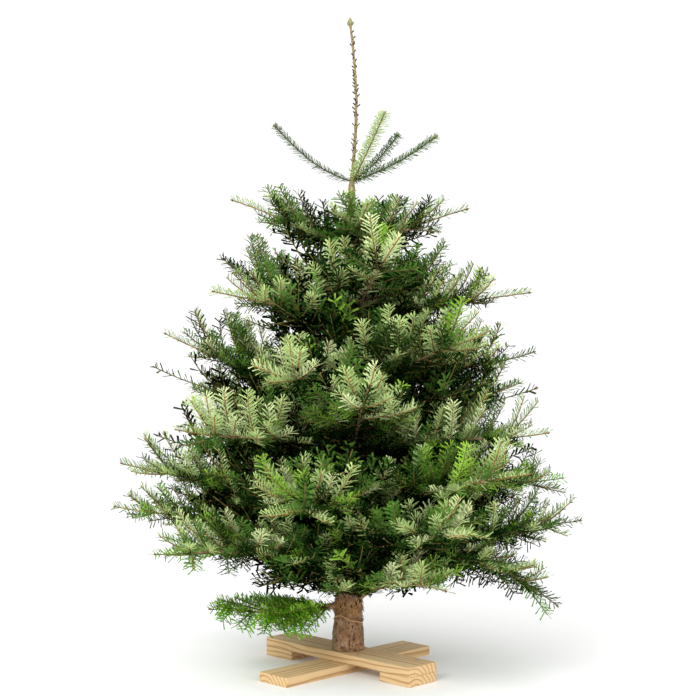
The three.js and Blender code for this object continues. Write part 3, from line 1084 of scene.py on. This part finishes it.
def leaderNeedles():
    # short needles that lie close to the leader, fewer towards its top
    low = leaderFoot + leader["from"]
    high = float(stem["z"].max()) - leader["to"]
    marks = np.linspace(low, high, leader["parts"] + 1)
    made = []
    for start, end in zip(marks, marks[1:]):
        fade = 1 - (start - low) / (high - low)
        points = np.array([stemAt(z) for z in np.linspace(start, end, 5)])
        size, density = (least + more * fade for least, more in (leader["size"], leader["density"]))
        tint = tintNumber["green" if fade > leader["greenAbove"] else "deep"]
        made.append({**leader, "points": points, "ups": np.tile((0.0, -1.0, 0.0), (5, 1)), "bough": None,
                     "tint": tint, "size": size, "density": density})
    return made


trunkPiece()
for number, place in enumerate(knot["places"], 1):
    knotPiece(f"knot.{number}", *place)
strandPiece()
needlePiece("foliage.dry", hangingNeedles(), 200)
needlePiece("foliage.leader", leaderNeedles(), 201)
for pattern in [bladeObject] + budObjects:
    bpy.data.objects.remove(pattern)
print("trunk made")

# The stand

standLook = {
    "bevel": 0.0016, "width": 0.092, "turns": {"lower": 45, "upper": 135},   # degrees of the grain
    "screwSides": 14, "screwRadius": 0.0042, "screwIn": 0.02, "screwUp": 0.0002, "screwSeed": 4,
    "atEnd": 0.45, "atCrossing": 0.62,   # how far the screws sit from the ends and the middle, in widths
}


def boardPiece(node):
    # a board of the stand with eased edges and its own grain
    def ease(build):
        bmesh.ops.remove_doubles(build, verts=build.verts, dist=1e-5)
        bmesh.ops.dissolve_limit(build, angle_limit=0.01, verts=build.verts, edges=build.edges)
        bmesh.ops.bevel(build, geom=build.edges, offset=standLook["bevel"], segments=2, profile=0.6,
                        affect="EDGES")

    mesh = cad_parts[node].data.copy()
    outwards(mesh, ease)
    turn = math.radians(standLook["turns"]["lower" if "lower" in node else "upper"])
    low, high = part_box(node)
    mesh.materials.clear()
    mesh.materials.append(surface("timber." + node, timberSurface(turn, (low[2] + high[2]) / 2)))
    settle(linkNew(node.replace("_", "."), mesh), [node])


def screwMesh():
    # a countersunk head with a cross recess
    sides = standLook["screwSides"]
    corners, faces = lathe([(1.0, -0.5), (1.0, 0.0), (0.86, 0.14), (0.6, 0.18), (0.3, 0.0)], sides)
    last = len(corners) - sides
    for i in range(sides):
        corners[last + i] = corners[last + i][:2] + (-0.25 if i % 4 < 2 else 0.16,)
    faces += [tuple(range(last, last + sides)), tuple(reversed(range(sides)))]
    return meshFrom("screw", corners, faces)


def screwTree():
    tree, graph, group = newTree("Screws on points", {"Screw": "Object", "Size": "Float", "Seed": "Int",
                                                      "Material": "Material"})
    turn = graph.node("ShaderNodeCombineXYZ", {"Z": graph.chance(0.0, math.tau, group["Seed"])})
    made = scatter(graph, group["Geometry"], group["Screw"], turn, group["Size"])
    closeTree(graph, coated(graph, realize(graph, made), group["Material"]))
    return tree


def screwPiece():
    # two screws down into each block, and four that hold the crossing
    low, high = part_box("stand_upper_board")
    turn = math.radians(standLook["turns"]["upper"])
    along = heading(turn)
    across = leftOf(along)
    width = standLook["width"]
    length = (high[0] - low[0]) / abs(math.cos(turn)) - width
    places = []
    for side in (1, -1):
        for other in (1, -1):
            aside = across * other * (width / 2 - standLook["screwIn"])
            places.append(along * side * (length / 2 - width * standLook["atEnd"]) + aside)
            places.append(along * side * width * standLook["atCrossing"] + aside)
    mesh = meshFrom("screws", [(p[0], p[1], high[2] + standLook["screwUp"]) for p in places], [])
    source = linkNew("screw", screwMesh())
    piece = shapeFrom("screws", mesh, screwTree(), {
        "Screw": source, "Size": standLook["screwRadius"], "Seed": standLook["screwSeed"],
        "Material": zinc})
    bpy.data.objects.remove(source)
    settle(piece)


for node in sorted(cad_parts):
    if node.startswith("stand_"):
        boardPiece(node)
screwPiece()
print("stand made")

# Floor, light and camera

studio = {
    "floor": 30.0, "distance": 3.3, "height": 0.76, "frameWide": 1.656, "sensor": 36.0, "world": 1.08,
    "lights": {   # place, what it aims at, size and power
        "key": ((-1.6, -2.8, 2.8), (0, 0, 0.8), 1.8, 90), "fill": ((2.4, -2.2, 1.6), (0, 0, 0.7), 1.6, 25)},
}


def floorPiece():
    half = studio["floor"]
    corners = [(-half, -half, 0), (half, -half, 0), (half, half, 0), (-half, half, 0)]
    mesh = meshFrom("floor", corners, [(0, 1, 2, 3)])
    floor = linkNew("floor", mesh)
    mesh.materials.append(surface("floor", lambda graph: {
        "Base Color": linear(250, 250, 250), "Roughness": 0.9, "Specular IOR Level": 0.1}))


def areaLight(name, place, aim, size, power):
    data = bpy.data.lights.new(name, "AREA")
    data.size, data.energy = size, power
    lamp = bpy.data.objects.new(name, data)
    lamp.location = place
    lamp.rotation_mode = "QUATERNION"
    lamp.rotation_quaternion = (Vector(aim) - Vector(place)).to_track_quat("-Z", "Y")
    scene.collection.objects.link(lamp)


floorPiece()
world = bpy.data.worlds.new("studio")
world.use_nodes = True
backdrop = world.node_tree.nodes["Background"].inputs
backdrop["Color"].default_value = (1, 1, 1, 1)
backdrop["Strength"].default_value = studio["world"]
scene.world = world
for name, values in studio["lights"].items():
    areaLight(name, *values)

cameraData = bpy.data.cameras.new("camera")
cameraData.sensor_width = studio["sensor"]
cameraData.lens = studio["sensor"] * studio["distance"] / studio["frameWide"]
camera = bpy.data.objects.new("camera", cameraData)
camera.location = (0, -studio["distance"], studio["height"])
camera.rotation_euler = (math.radians(90), 0, 0)
scene.collection.objects.link(camera)
scene.camera = camera
scene.view_settings.view_transform = "Standard"
